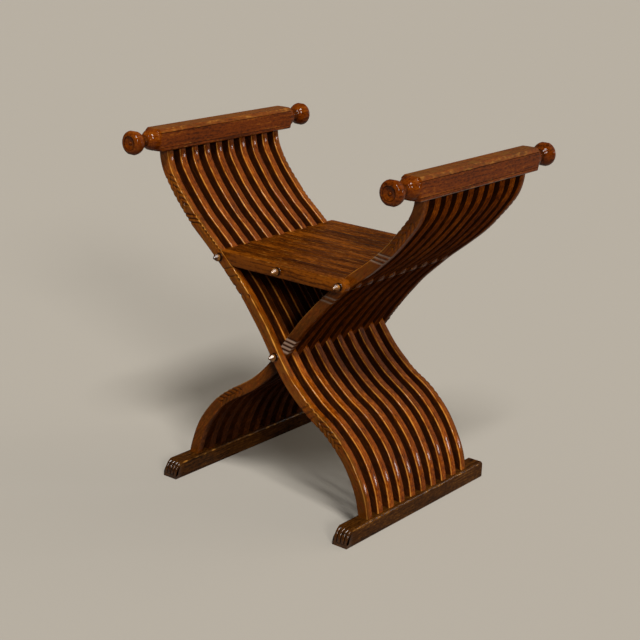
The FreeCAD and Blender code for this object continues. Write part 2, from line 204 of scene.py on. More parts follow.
# Painted shade on the ribs' upper faces under the seat; less on the carved outer ribs.
SEAT_SHADE = 0.50
SEAT_SHADE_SPAN = (0.258, 0.300, 0.440, 0.475)
CARVED_RIB_SEAT_SHADE = 0.3
# Distances down the rib from the arm, and how much darkening or dullness there is at each.
# Painted shade on the left-arm rib's carved face below the crossing.
LEFT_FACE_SHADE = ((0.575, 0.635, 0.72, 0.80), (0.0, 0.34, 0.26, 0.40))
# The right-arm rib's carved face is darker from below the arm down past the crossing.
RIGHT_FACE_DARKENING = ((0.10, 0.42, 0.50, 0.60, 0.66), (0.0, 0.45, 0.45, 0.30, 0.38))
# Painted shade on the ribs' undersides, deeper further from the arm.
UNDERSIDE_SHADE = ((0.0, 0.22, 0.48, 0.54), (0.06, 0.42, 0.42, 0.52))
UNDER_DULLNESS = ((0.48, 0.54), (1.0, 0.1))

RIB_COUNT = 10
RIB_DARK = (0.045, 0.0080, 0.0006, 1)
RIB_MIDDLE = (0.165, 0.0330, 0.0012, 1)
RIB_LIGHT = (0.350, 0.0880, 0.0045, 1)


def middle(node):
    low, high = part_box(node)
    return (Vector(low) + Vector(high)) / 2


def heading(angle):
    """Down the rib of frame A, and square to it on its upper side."""
    return (np.array((math.cos(angle), -math.sin(angle))),
            np.array((math.sin(angle), math.cos(angle))))


class Run:
    """A stretch of the centre line: an arc, bulging up where its side is 1, or straight."""

    def __init__(self, start, angle, end_angle, radius, side, length=None):
        self.start = np.array(start)
        self.angle = angle
        self.radius = radius
        self.side = side
        self.turn = end_angle - angle
        self.length = length or abs(self.turn) * radius

    def spot(self, distance):
        if not self.turn:
            return self.start + distance * heading(self.angle)[0], self.angle
        angle = self.angle + self.turn * distance / self.length
        lift = heading(angle)[1] - heading(self.angle)[1]
        return self.start + self.side * self.radius * lift, angle


pivot = middle("rod_pivot")
upper_runs = []
place = np.array((pivot.x, pivot.z))
for first, last, radius, side in ((CROSS_ANGLE, WAIST_ANGLE, THIGH_RADIUS, 1),
                                  (WAIST_ANGLE, SHOULDER_ANGLE, SIDE_RADIUS, -1),
                                  (SHOULDER_ANGLE, ARM_ANGLE, SHOULDER_RADIUS, -1)):
    place = place + side * radius * (heading(last)[1] - heading(first)[1])
    upper_runs.insert(0, Run(place, last, first, radius, side))
place = place - ARM_STRAIGHT * heading(ARM_ANGLE)[0]
upper_runs.insert(0, Run(place, ARM_ANGLE, ARM_ANGLE, 0, 0, ARM_STRAIGHT))
lower_runs = []
place = np.array((pivot.x, pivot.z))
for first, last, radius, side in ((CROSS_ANGLE, SHIN_ANGLE, KNEE_RADIUS, -1),
                                  (SHIN_ANGLE, FOOT_ANGLE, FOOT_RADIUS, 1)):
    lower_runs.append(Run(place, first, last, radius, side))
    place = place + side * radius * (heading(last)[1] - heading(first)[1])
lower_runs.append(Run(place, FOOT_ANGLE, FOOT_ANGLE, 0, 0, FOOT_STRAIGHT))
rib_runs = upper_runs + lower_runs
rib_length = sum(run.length for run in rib_runs)
rib_top = rib_runs[0].start
rib_foot = rib_runs[-1].spot(FOOT_STRAIGHT)[0]
board_along = (rib_foot - rib_top) / np.linalg.norm(rib_foot - rib_top)


def rib_spot(distance):
    """Place and slope of frame A's centre line at a distance from the arm rail."""
    for run in rib_runs:
        if distance <= run.length or run is rib_runs[-1]:
            return run.spot(distance)
        distance -= run.length


def rounded_section(half_wide, half_thick, upper, lower, columns):
    """A ring of (across, through, wear and painted highlight) round a bar, with its own radius
    for the arrises of the upper and of the lower side."""
    ring = []
    for number, (wide, thick) in enumerate(((1, -1), (1, 1), (-1, 1), (-1, -1))):
        arris = upper if wide > 0 else lower
        start = math.radians(-90 + 90 * number)
        for step in range(ARRIS_STEPS + 1):
            angle = start + math.radians(90) * step / ARRIS_STEPS
            wear_and_highlight = ARRIS_WEAR_AND_HIGHLIGHT[step]
            ring.append((wide * (half_wide - arris) + arris * math.cos(angle),
                         thick * (half_thick - arris) + arris * math.sin(angle), wear_and_highlight))
    flat = 2 * half_wide - upper - lower
    for step in range(1, columns):
        ring.append((lower - half_wide + flat * step / columns, -half_thick, 0.0))
    return ring


def tube_faces(stations, around):
    """Quads between rings, and a cap on each end."""
    faces = []
    for start in range(0, (stations - 1) * around, around):
        for step in range(around):
            after = (step + 1) % around
            faces.append((start + step, start + after, start + around + after,
                          start + around + step))
    faces.append(tuple(reversed(range(around))))
    faces.append(tuple(range((stations - 1) * around, stations * around)))
    return faces


def mark(piece, name, values):
    """Stores one number, or three, for each point of a mesh."""
    values = np.asarray(values, dtype=float)
    kind, field = ("FLOAT", "value") if values.ndim == 1 else ("FLOAT_VECTOR", "vector")
    layer = piece.data.attributes.new(name, kind, "POINT")
    layer.data.foreach_set(field, values.ravel())


def lay_grain(piece, along, seed, tone=0.0, wear_and_highlight=None, dirt_and_shade=None, faded=None, dull=None):
    """Gives a piece its place in the board: along, across and through the grain."""
    draw = random.Random(seed)
    points = np.array([vertex.co for vertex in piece.data.vertices])
    along = np.array(along, dtype=float)
    along /= np.linalg.norm(along)
    through = np.array((0.0, 1.0, 0.0)) if abs(along[1]) < 0.5 else np.array((1.0, 0.0, 0.0))
    across = np.cross(through, along)
    shift = np.array([draw.uniform(0, 9) for axis in range(3)])
    board = np.stack([points @ along, points @ across, points @ through], axis=1) + shift
    mark(piece, "grain", board)
    count = len(points)
    mark(piece, "tone", np.full(count, tone + draw.uniform(-1, 1)))
    for name, values in (("wear_and_highlight", wear_and_highlight), ("dirt_and_shade", dirt_and_shade), ("faded", faded), ("dull", dull)):
        mark(piece, name, np.zeros(count) if values is None else values)


def new_group(name, inputs, outputs):
    """A shader node group with its sockets, and its input and output nodes."""
    group = bpy.data.node_groups.new(name, "ShaderNodeTree")
    for direction, sockets in (("INPUT", inputs), ("OUTPUT", outputs)):
        for label, kind in sockets:
            group.interface.new_socket(label, in_out=direction, socket_type="NodeSocket" + kind)
    return group, group.nodes.new("NodeGroupInput"), group.nodes.new("NodeGroupOutput")


def scaled(tree, vector, scale):
    """A vector stretched by a scale for each axis."""
    node = put(tree, "VectorMath", operation="MULTIPLY")
    node.inputs[1].default_value = scale
    tree.links.new(vector, node.inputs[0])
    return node.outputs[0]


def noise(tree, vector, scale, detail=2.0, roughness=0.5):
    node = put(tree, "TexNoise", Scale=1.0, Detail=detail, Roughness=roughness)
    tree.links.new(scaled(tree, vector, scale), node.inputs["Vector"])
    return node.outputs["Fac"]


def sum_of(tree, *terms):
    """Adds outputs, each times its own weight, with one plain number to start from."""
    total = None
    for term in terms:
        if isinstance(term, tuple):
            node = put(tree, "Math", operation="MULTIPLY_ADD")
            tree.links.new(term[0], node.inputs[0])
            node.inputs[1].default_value = term[1]
            if isinstance(total, float):
                node.inputs[2].default_value = total
            else:
                tree.links.new(total, node.inputs[2])
            total = node.outputs[0]
        else:
            total = term
    return total


def ramp(tree, value, low, high):
    """0 at low, 1 at high and smooth between."""
    node = put(tree, "MapRange", interpolation_type="SMOOTHSTEP")
    node.inputs["From Min"].default_value = low
    node.inputs["From Max"].default_value = high
    tree.links.new(value, node.inputs["Value"])
    return node.outputs["Result"]


def times(tree, one, two):
    node = put(tree, "Math", operation="MULTIPLY")
    for socket, value in zip(node.inputs, (one, two)):
        if isinstance(value, float):
            socket.default_value = value
        else:
            tree.links.new(value, socket)
    return node.outputs[0]


def blended(tree, share, one, two):
    """A colour between two, each an output or a plain colour."""
    node = put(tree, "Mix", data_type="RGBA")
    tree.links.new(share, node.inputs[0])
    for socket, colour in ((node.inputs[6], one), (node.inputs[7], two)):
        if isinstance(colour, tuple):
            socket.default_value = colour
        else:
            tree.links.new(colour, socket)
    return node.outputs[2]


def held(tree, name, field="Fac"):
    """A number or vector stored on the mesh."""
    return put(tree, "Attribute", attribute_name=name).outputs[field]


DRIFT_SCALE = (9.0, 16.0, 16.0)
SWAY = (0.02, 0.014, 0.014)
GROWTH_SCALE = (3.0, 34.0, 20.0)
FIBRE_SCALE = (6.0, 300.0, 300.0)
MOTTLE_SCALE = (110.0, 260.0, 260.0)
CLOUD_SCALE = (7.0, 13.0, 13.0)
PORE_SCALE = (170.0, 2400.0, 2400.0)
PATCH_SCALE = (55.0, 120.0, 120.0)

group, inside, outside = new_group(
    "walnut_figure",
    (("Dark", "Color"), ("Middle", "Color"), ("Light", "Color"), ("Bands", "Float")),
    (("Color", "Color"), ("Height", "Float"), ("Gloss", "Float")))
board = held(group, "grain", "Vector")
drift = put(group, "TexNoise", Scale=1.0, Detail=2.0)
group.links.new(scaled(group, board, DRIFT_SCALE), drift.inputs["Vector"])
sway = put(group, "VectorMath", operation="MULTIPLY_ADD")
group.links.new(drift.outputs["Color"], sway.inputs[0])
sway.inputs[1].default_value = SWAY
group.links.new(board, sway.inputs[2])
figure = sway.outputs[0]
growth = put(group, "TexWave", bands_direction="Y", Scale=1.0, Distortion=3.5, Detail=3.0)
growth.inputs["Detail Scale"].default_value = 1.2
group.links.new(scaled(group, figure, GROWTH_SCALE), growth.inputs["Vector"])
fibre = noise(group, figure, FIBRE_SCALE, 5.0, 0.62)
mottle = noise(group, board, MOTTLE_SCALE, 3.0, 0.65)
cloud = noise(group, board, CLOUD_SCALE)
pores = ramp(group, noise(group, figure, PORE_SCALE, 1.0), 0.60, 0.72)
bands = sum_of(group, -0.5, (growth.outputs["Fac"], 1.0))
bands = times(group, bands, inside.outputs["Bands"])
shade = sum_of(group, -0.62, (bands, 1.0), (fibre, 0.80), (mottle, 0.86), (cloud, 0.55),
               (held(group, "tone"), 0.06))
colour = blended(group, ramp(group, shade, 0.18, 0.50), inside.outputs["Dark"],
                 inside.outputs["Middle"])
colour = blended(group, ramp(group, shade, 0.48, 0.80), colour, inside.outputs["Light"])
colour = blended(group, times(group, pores, 0.35), colour, inside.outputs["Dark"])
group.links.new(colour, outside.inputs["Color"])
group.links.new(sum_of(group, 0.0, (fibre, 0.55), (pores, -0.5), (mottle, 0.25)),
                outside.inputs["Height"])
group.links.new(sum_of(group, 0.10, (mottle, 0.16), (fibre, 0.12)), outside.inputs["Gloss"])
walnut_figure = group

# Rubbed edges, dirt, painted shade and the flutes' painted highlight over the figure.
group, inside, outside = new_group(
    "wear_dirt_and_painted_light",
    (("Color", "Color"), ("Faded", "Color"), ("Bare", "Color"), ("Dirt and shade", "Color"),
     ("Painted highlight", "Color")),
    (("Color", "Color"), ("Roughness", "Float"), ("Gleam", "Float")))
board = held(group, "grain", "Vector")
patch = noise(group, board, PATCH_SCALE, 3.0)
edge = sum_of(group, 0.0, (held(group, "wear_and_highlight"), 0.62), (patch, 0.75))
rubbed = ramp(group, edge, 0.66, 0.98)
# Dirt in the hollows and painted shade, both darkening the colour and dulling the coat.
sunk = ramp(group, sum_of(group, 0.0, (held(group, "dirt_and_shade"), 1.0), (patch, 0.25)), 0.20, 0.85)
faded = times(group, held(group, "faded"), ramp(group, patch, 0.20, 0.75))
colour = blended(group, times(group, faded, 0.8), inside.outputs["Color"],
                 inside.outputs["Faded"])
colour = blended(group, times(group, rubbed, 0.8), colour, inside.outputs["Bare"])
colour = blended(group, sunk, colour, inside.outputs["Dirt and shade"])
# The painted highlight on the flutes.
colour = blended(group, times(group, held(group, "painted_highlight"), 0.8), colour, inside.outputs["Painted highlight"])
group.links.new(colour, outside.inputs["Color"])
group.links.new(sum_of(group, 0.0, (sunk, 0.35), (rubbed, 0.06)), outside.inputs["Roughness"])
gleam = times(group, sum_of(group, 1.0, (sunk, -0.9)),
              sum_of(group, 1.0, (held(group, "dull"), -0.95)))
group.links.new(gleam, outside.inputs["Gleam"])
wear_dirt_and_painted_light = group

BARE_WOOD = (0.62, 0.270, 0.045, 1)
FADED_WOOD = (0.19, 0.070, 0.006, 1)
# The colour of dirt and of painted shade.
DIRT_AND_SHADE = (0.014, 0.005, 0.002, 1)
# A pale highlight painted on one slope of each flute.
PAINTED_FLUTE_HIGHLIGHT = (0.27, 0.19, 0.14, 1)
FIGURE_RELIEF = 0.00008
RELIEF_STRENGTH = 0.6
VARNISH_IOR = 1.3
POLISHED_IOR = 1.4


def varnished(name, dark, mid, light, bands, coat, coat_roughness, coat_ior=VARNISH_IOR):
    """Varnished walnut: figure, rubbed edges, dirt in the hollows, painted shade, painted
    highlights and a clear coat.
    """
    material, tree, shader = new_material(name)
    figure = put(tree, "Group", node_tree=walnut_figure)
    for label, colour in (("Dark", dark), ("Middle", mid), ("Light", light)):
        figure.inputs[label].default_value = colour
    figure.inputs["Bands"].default_value = bands
    wear_and_painted_light = put(tree, "Group", node_tree=wear_dirt_and_painted_light)
    wear_and_painted_light.inputs["Bare"].default_value = BARE_WOOD
    wear_and_painted_light.inputs["Faded"].default_value = FADED_WOOD
    wear_and_painted_light.inputs["Dirt and shade"].default_value = DIRT_AND_SHADE
    wear_and_painted_light.inputs["Painted highlight"].default_value = PAINTED_FLUTE_HIGHLIGHT
    tree.links.new(figure.outputs["Color"], wear_and_painted_light.inputs["Color"])
    tree.links.new(wear_and_painted_light.outputs["Color"], shader.inputs["Base Color"])
    rough = put(tree, "Math", operation="ADD", use_clamp=True)
    tree.links.new(figure.outputs["Gloss"], rough.inputs[0])
    tree.links.new(wear_and_painted_light.outputs["Roughness"], rough.inputs[1])
    tree.links.new(rough.outputs[0], shader.inputs["Roughness"])
    bump = put(tree, "Bump", Distance=FIGURE_RELIEF, Strength=RELIEF_STRENGTH)
    tree.links.new(figure.outputs["Height"], bump.inputs["Height"])
    tree.links.new(bump.outputs[0], shader.inputs["Normal"])
    shader.inputs["Specular IOR Level"].default_value = 0.0
    tree.links.new(times(tree, wear_and_painted_light.outputs["Gleam"], coat), shader.inputs["Coat Weight"])
    shader.inputs["Coat Roughness"].default_value = coat_roughness
    shader.inputs["Coat IOR"].default_value = coat_ior
    return material


rib_wood = varnished("rib_wood", RIB_DARK, RIB_MIDDLE, RIB_LIGHT, bands=0.08, coat=0.5,
                     coat_roughness=0.09)
arm_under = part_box("arm_left")[0][2]
rail_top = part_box("foot_rail_left")[1][2]


def rib_painted_shade(distance, across, flank, rub, seat_shade_share):
    """Painted shade on a rib where it isn't carved: between ribs, underneath, or near the seat.
    """
    if flank:
        return BETWEEN_RIBS_SHADE
    if across < UNDERSIDE:
        return np.interp(distance, *UNDERSIDE_SHADE)
    if rub == 0:
        return SEAT_SHADE * np.interp(distance, SEAT_SHADE_SPAN, (0, 1, 1, 0)) * seat_shade_share
    return 0.0


def make_rib(node, hand, carving, face, fade, face_darkening):
    """Sweeps the rib's section down its centre line. A carving is cut on its front face
    where face is -1 and on its back where it is 1, and that face is faded. Both ends are cut
    level, a little inside the arm and the foot rail."""
    low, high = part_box(node)
    half_thick = (high[1] - low[1]) / 2
    depth = (low[1] + high[1]) / 2
    draw = random.Random(node)
    phase = [draw.uniform(0, 6.28) for wave in range(3)]
    step, columns = (CARVED_STEP, CARVED_COLUMNS) if carving else (RIB_STEP, 0)
    seat_shade_share = CARVED_RIB_SEAT_SHADE if carving else 1.0
    stations = np.linspace(0, rib_length, round(rib_length / step))
    ring = rounded_section(RIB_WIDTH / 2, half_thick, UPPER_ARRIS, LOWER_ARRIS, columns)
    points, wear_and_highlight, dirt_and_shade, faded, dull, flute_highlights = [], [], [], [], [], []
    for number, distance in enumerate(stations):
        place, angle = rib_spot(distance)
        down, normal = heading(angle)
        waver = RIB_WAVER * (math.sin(distance * WAVER_WAVES[0] + phase[0])
                             + math.sin(distance * WAVER_WAVES[1] + phase[1]))
        swell = RIB_WAVER * math.sin(distance * SWELL_WAVES + phase[2])
        for across, through, rub in ring:
            sunk, painted_highlight, rise = 0.0, 0.0, across + waver + (swell if across > 0 else -swell)
            outer = carving and through < 0
            if outer:
                sunk, nick, painted_highlight = carving(distance, across)
                rise -= math.copysign(nick, across)
            spot = place + rise * normal
            if number in (0, len(stations) - 1):
                target = arm_under + SETTING_IN if number == 0 else rail_top - SETTING_IN
                spot = spot + (spot[1] - target) / -down[1] * down
            points.append((hand * spot[0], depth - face * (through + sunk), spot[1]))
            # Paler front and upper arrises: wear, and a painted highlight.
            front_side_share = 1.0 if face * through > 0 else BACK_WEAR_AND_HIGHLIGHT
            wear_and_highlight.append(rub * front_side_share * (1.0 if across > 0 else LOWER_WEAR_AND_HIGHLIGHT))
            flute_highlights.append(painted_highlight)
            faded.append(fade if outer else 0.0)
            if outer:
                # Dirt in the carving, or the face's darkening, which on the left-arm rib is
                # painted shade.
                dirt_and_shade.append(max(CUT_GRIME * min(sunk / GRIMY_DEPTH, 1),
                                  np.interp(distance, *face_darkening)))
                dull.append(0.0)
                continue
            flank = abs(through) > half_thick * FLANK
            # Painted shade between the ribs, underneath and under the seat.
            dirt_and_shade.append(rib_painted_shade(distance, across, flank, rub, seat_shade_share))
            if across < UNDERSIDE:
                dull.append(np.interp(distance, *UNDER_DULLNESS))
            else:
                dull.append(1.0 if abs(through) > half_thick * FLANK_EDGE else 0.0)
    piece = new_piece(node + "_varnished", points, tube_faces(len(stations), len(ring)), sharp=50)
    lay_grain(piece, (hand * board_along[0], 0, board_along[1]), node, wear_and_highlight=wear_and_highlight, dirt_and_shade=dirt_and_shade,
              faded=faded, dull=dull)
    mark(piece, "painted_highlight", flute_highlights)
    piece.data.materials.append(rib_wood)
    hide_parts(node)
    return piece


LEAF_PITCH = 0.0135
LEAF_CURL = 0.9
LEAF_FADE = 0.004
LEAF_DEPTH = 0.0021
LEAF_NICK = 0.0018
VEIN_DEPTH = 0.0014
VEIN_WIDTH = 0.0011
VEIN_SWAY = 0.0016


def leafage(start, end, distance, across):
    """Gouged leaf lobes on both sides of a middle vein, between two distances."""
    if not start < distance < end:
        return 0.0, 0.0
    half = RIB_WIDTH / 2
    fade = min(1.0, (distance - start) / LEAF_FADE, (end - distance) / LEAF_FADE)
    curl = distance / LEAF_PITCH - LEAF_CURL * (across / half) ** 2
    lobe = abs(math.sin(math.pi * (curl - (0.0 if across > 0 else 0.5))))
    vein = math.exp(-((across - VEIN_SWAY * math.sin(curl * 2.2)) / VEIN_WIDTH) ** 2)
    cut = LEAF_DEPTH * (1 - lobe) ** 1.2 + VEIN_DEPTH * vein
    nick = LEAF_NICK * max(0.0, abs(across) / half - 0.6) * (1 - lobe) ** 2
    return fade * cut, fade * nick


def gouge_lines(middles, slant, distance, across, width=0.0014, deep=0.0014):
    """V-cuts across the rib, each leaning by the slant."""
    cut = 0.0
    for spot in middles:
        away = (distance - spot - slant * across) / width
        cut = max(cut, deep * math.exp(-away * away))
    return cut


def edge_nicks(middles, distance, across, side, reach=0.0042, deep=0.0024):
    """Scoops out of one arris: the upper one where the side is 1, the lower where it is -1."""
    edge = RIB_WIDTH / 2 - (UPPER_ARRIS if side > 0 else LOWER_ARRIS)
    cut = 0.0
    for spot in middles:
        away = ((distance - spot) / reach) ** 2 + ((across - side * edge) / reach) ** 2
        cut = max(cut, deep * max(0.0, 1 - away))
    return cut


LEFT_FLUTES = (0.145, 0.155, 0.165)
LEFT_UPPER_NICKS = [0.175 + 0.0095 * step for step in range(8)]
LEFT_NOTCHES = (0.592, 0.605, 0.618)
RIGHT_NARROW_FLUTES = (0.140, 0.151, 0.162, 0.298, 0.310)
RIGHT_BROAD_FLUTES = (0.436, 0.446, 0.456, 0.466)


def carve_left_arm_rib(distance, across):
    """Leaves and three flutes above the seat, nicked arrises down to the crossing, and
    three notches and more leaves below it."""
    cut, nick = leafage(0.052, 0.132, distance, across)
    cut = max(cut, gouge_lines(LEFT_FLUTES, 0.9, distance, across, 0.0022, 0.0022))
    cut = max(cut, edge_nicks(LEFT_UPPER_NICKS, distance, across, 1))
    cut = max(cut, gouge_lines((0.280, 0.299), 0.5, distance, across))
    cut = max(cut, edge_nicks((0.303, 0.312, 0.349), distance, across, 1))
    cut = max(cut, edge_nicks((0.316, 0.337), distance, across, -1))
    cut = max(cut, gouge_lines(LEFT_NOTCHES, 0.35, distance, across, 0.0022, 0.0018))
    cut = max(cut, edge_nicks(LEFT_NOTCHES, distance, across, 1, 0.0045))
    low_cut, low_nick = leafage(0.626, 0.700, distance, across)
    return max(cut, low_cut), max(nick, low_nick), 0.0


def carve_right_arm_rib(distance, across):
    """The same leaves, shallower, with more flutes, each with a highlight painted on one slope.
    """
    cut, nick = leafage(0.045, 0.120, distance, across)
    narrow, broad = RIGHT_NARROW_FLUTES, RIGHT_BROAD_FLUTES
    flutes = gouge_lines(narrow, 0.8, distance, across, 0.0026)
    flutes = max(flutes, gouge_lines(broad, 0.5, distance, across, 0.0032, 0.0026))
    low_cut, low_nick = leafage(0.615, 0.690, distance, across)
    # Where the highlight is painted: on one slope of each flute.
    painted_highlight = gouge_lines(narrow, 0.8, distance - 0.0014, across, 0.0022, 1.0)
    painted_highlight = max(painted_highlight, gouge_lines(broad, 0.5, distance - 0.0018, across, 0.0028, 1.0))
    return max(0.7 * cut, flutes, low_cut), max(nick, low_nick), painted_highlight


for number in range(1, RIB_COUNT + 1):
    front, back = number == 1, number == RIB_COUNT
    for letter, hand, carving, fade, face_darkening in (
            ("a", 1, carve_left_arm_rib, 0.8, LEFT_FACE_SHADE),
            ("b", -1, carve_right_arm_rib, 0.6, RIGHT_FACE_DARKENING)):
        rib = make_rib(f"rib_{letter}_{number:02d}", hand, carving if front or back else None,
                       1 if back else -1, fade, face_darkening)
        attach(rib, "frame_" + letter)


# The seat is twenty walnut slats, each as thick as a rib. Half hinge on the right seat rod and
# half on the left one; their rounded ends turn there, and their other ends are cut to the bow
# of the rib that they rest against.
SLAT_HEIGHT = 0.026
SLAT_END_GAP = 0.0005
SLAT_BEVEL = 0.0009
SLAT_ROUND_STEPS = 10
SLAT_WEAR = 0.3
EASED_WEAR = 0.6
SEAM_GRIME = 0.6
HOOK_LENGTH = 0.034
HOOK_RISE = 0.003
HOOK_RADIUS = 0.00405
HOOK_STEPS = 6
FRONT_SLAT_TONE = 3.6
SLAT_DARK = (0.024, 0.0050, 0.0005, 1)
SLAT_MIDDLE = (0.085, 0.0200, 0.0010, 1)
SLAT_LIGHT = (0.230, 0.0600, 0.0030, 1)
slat_wood = varnished("slat_wood", SLAT_DARK, SLAT_MIDDLE, SLAT_LIGHT, bands=0.22, coat=0.3,
                      coat_roughness=0.16)

slat_half = SLAT_HEIGHT / 2
seat_right = middle("rod_seat_right")
thigh_centre = np.array((pivot.x, pivot.z)) - THIGH_RADIUS * heading(CROSS_ANGLE)[1]


def rib_face(height):
    """Where frame A's upper face is at a height near the seat."""
    reach = THIGH_RADIUS + RIB_WIDTH / 2
    return thigh_centre[0] + math.sqrt(reach ** 2 - (height - thigh_centre[1]) ** 2)


def inset(outline, depth):
    """Moves each corner of an outline inwards, square to the sides that meet there."""
    outline = np.array(outline)
    before = outline - np.roll(outline, 1, axis=0)
    after = np.roll(outline, -1, axis=0) - outline
    before /= np.linalg.norm(before, axis=1)[:, None]
    after /= np.linalg.norm(after, axis=1)[:, None]
    square = np.stack([-before[:, 1], before[:, 0]], 1) + np.stack([-after[:, 1], after[:, 0]], 1)
    square /= np.linalg.norm(square, axis=1)[:, None]
    lean = np.clip((square * np.stack([-after[:, 1], after[:, 0]], 1)).sum(1), 0.5, 1)
    return outline + square * (depth / lean)[:, None]


def make_board(name, outline, low, high, bevel):
    """A flat piece sawn to an outline in XZ, given anticlockwise, with eased edges. Also gives
    the wear and the dirt in the seams at its points."""
    ease = bevel * (1 - math.sqrt(0.5))
    rings = ((low, bevel), (low + ease, ease), (low + bevel, 0.0),
             (high - bevel, 0.0), (high - ease, ease), (high, bevel))
    points, wear_and_highlight, seam = [], [], []
    for depth, back in rings:
        ring = inset(outline, back) if back else np.array(outline)
        points += [(x, depth, z) for x, z in ring]
        wear_and_highlight += [EASED_WEAR if back == ease else SLAT_WEAR] * len(outline)
        seam += [SEAM_GRIME if back == bevel else 0.0] * len(outline)
    piece = new_piece(name, points, tube_faces(len(rings), len(outline)), sharp=35)
    return piece, wear_and_highlight, seam


def slat_outline(hooked):
    """A slat that hinges at the right, from its free end round. One with a hook is cut away
    below its rod and inwards of it, where the rod leaves it as the chair folds."""
    top = seat_right.z + slat_half
    bottom = seat_right.z - slat_half
    outline = [(rib_face(top) + SLAT_END_GAP, top), (rib_face(bottom) + SLAT_END_GAP, bottom)]
    if hooked:
        inner = seat_right.x - HOOK_LENGTH
        roof = seat_right.z + HOOK_RADIUS
        outline += [(inner, bottom), (inner, roof - HOOK_RISE),
                    (seat_right.x - HOOK_RADIUS, roof)]
        for step in range(HOOK_STEPS + 1):
            angle = math.radians(90 - 90 / HOOK_STEPS * step)
            outline.append((seat_right.x + HOOK_RADIUS * math.cos(angle),
                            seat_right.z + HOOK_RADIUS * math.sin(angle)))
        outline.append((seat_right.x + HOOK_RADIUS,
                        seat_right.z - math.sqrt(slat_half ** 2 - HOOK_RADIUS ** 2)))
        start = -math.acos(HOOK_RADIUS / slat_half)
    else:
        outline.append((seat_right.x, bottom))
        start = -math.pi / 2
    for step in range(1, SLAT_ROUND_STEPS + 1):
        angle = start + (math.pi / 2 - start) * step / SLAT_ROUND_STEPS
        outline.append((seat_right.x + slat_half * math.cos(angle),
                        seat_right.z + slat_half * math.sin(angle)))
    return outline


for number in range(1, RIB_COUNT + 1):
    for side, body in (("right", "right_slats"), ("left", "left_slats")):
        node = f"slat_{side}_{number:02d}"
        low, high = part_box(node)
        outline = slat_outline(side == "left")
        if side == "left":
            outline = [(-x, z) for x, z in reversed(outline)]
        slat, wear_and_highlight, seam = make_board(node + "_varnished", outline, low[1], high[1], SLAT_BEVEL)
        outermost = node == "slat_right_01" or node == f"slat_left_{RIB_COUNT}"
        lay_grain(slat, (1, 0, 0), node, tone=FRONT_SLAT_TONE if outermost else 0.0, wear_and_highlight=wear_and_highlight,
                  dirt_and_shade=None if outermost else seam)
        slat.data.materials.append(slat_wood)
        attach(slat, body)
        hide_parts(node)


# Four hardwood dowels hold the chair together and are its hinges. They are plain and
# unvarnished, and only the turned buttons glued on their ends show.
ROD_DARK = (0.10, 0.045, 0.018, 1)
ROD_LIGHT = (0.26, 0.14, 0.06, 1)

dowel_wood, tree, shader = new_material("dowel_wood")
where = put(tree, "TexCoord").outputs["Object"]
streak = noise(tree, where, (900.0, 25.0, 900.0), 4.0)
tree.links.new(blended(tree, ramp(tree, streak, 0.3, 0.7), ROD_DARK, ROD_LIGHT),
               shader.inputs["Base Color"])
tree.links.new(sum_of(tree, 0.45, (streak, 0.25)), shader.inputs["Roughness"])
for which in ("pivot", "seat_left", "seat_right", "seat_middle"):
    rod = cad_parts["rod_" + which]
    rod.data.materials.clear()
    rod.data.materials.append(dowel_wood)


# Turned walnut buttons, glued on the ends of the dowels against the outermost ribs: a collar,
# a narrow neck and a tapered head with flat cuts, rubbed and polished by hands. The profile
# is in millimetres, as (radius, length).
BUTTON_PROFILE = ((0.0, 0.0), (8.2, 0.0), (8.5, 0.7), (8.5, 1.8), (7.9, 2.5), (6.7, 3.1),
                  (6.4, 4.2), (6.6, 5.4), (7.4, 6.6), (8.0, 8.0), (8.0, 9.4), (7.5, 10.6),
                  (6.1, 12.5), (4.7, 14.4), (3.3, 16.3), (2.4, 17.6), (1.4, 18.6), (0.0, 19.0))
BUTTON_POINT = 0.05
BUTTON_ROUND = 42
BUTTON_SIDES = 7
FACETS_FROM = 0.0080
FACETS_REACH = 0.0025
# Painted shade on the buttons' necks.
SHADED_NECK = (0.0020, 0.0050)
# The head is paler: partly wear, partly a painted highlight.
RUBBED_AND_HIGHLIGHTED_HEAD = (0.0075, 0.0188)
BUTTON_DARK = (0.020, 0.0055, 0.0012, 1)
BUTTON_MIDDLE = (0.065, 0.0180, 0.0025, 1)
BUTTON_LIGHT = (0.160, 0.0500, 0.0070, 1)
button_wood = varnished("button_wood", BUTTON_DARK, BUTTON_MIDDLE, BUTTON_LIGHT, bands=0.08,
                        coat=1.0, coat_roughness=0.18, coat_ior=POLISHED_IOR)


def facet(length, angle):
    """How far a button's head is cut flat at an angle, as a share of its radius."""
    share = min(max((length - FACETS_FROM) / FACETS_REACH, 0.0), 1.0)
    half_side = math.pi / BUTTON_SIDES
    flat = math.cos(half_side) / math.cos((angle + half_side) % (2 * half_side) - half_side)
    return 1 + share * (flat - 1)


def turn_button(name, centre, profile, way):
    """Turns a profile of (radius, length) about a line along Y, and cuts its facets."""
    points = []
    for radius, length in profile:
        for step in range(BUTTON_ROUND):
            angle = math.tau * step / BUTTON_ROUND
            reach = radius * facet(length, angle)
            points.append((centre[0] + reach * math.cos(angle), centre[1] + way * length,
                           centre[2] + reach * math.sin(angle)))
    return new_piece(name, points, tube_faces(len(profile), BUTTON_ROUND), sharp=22)


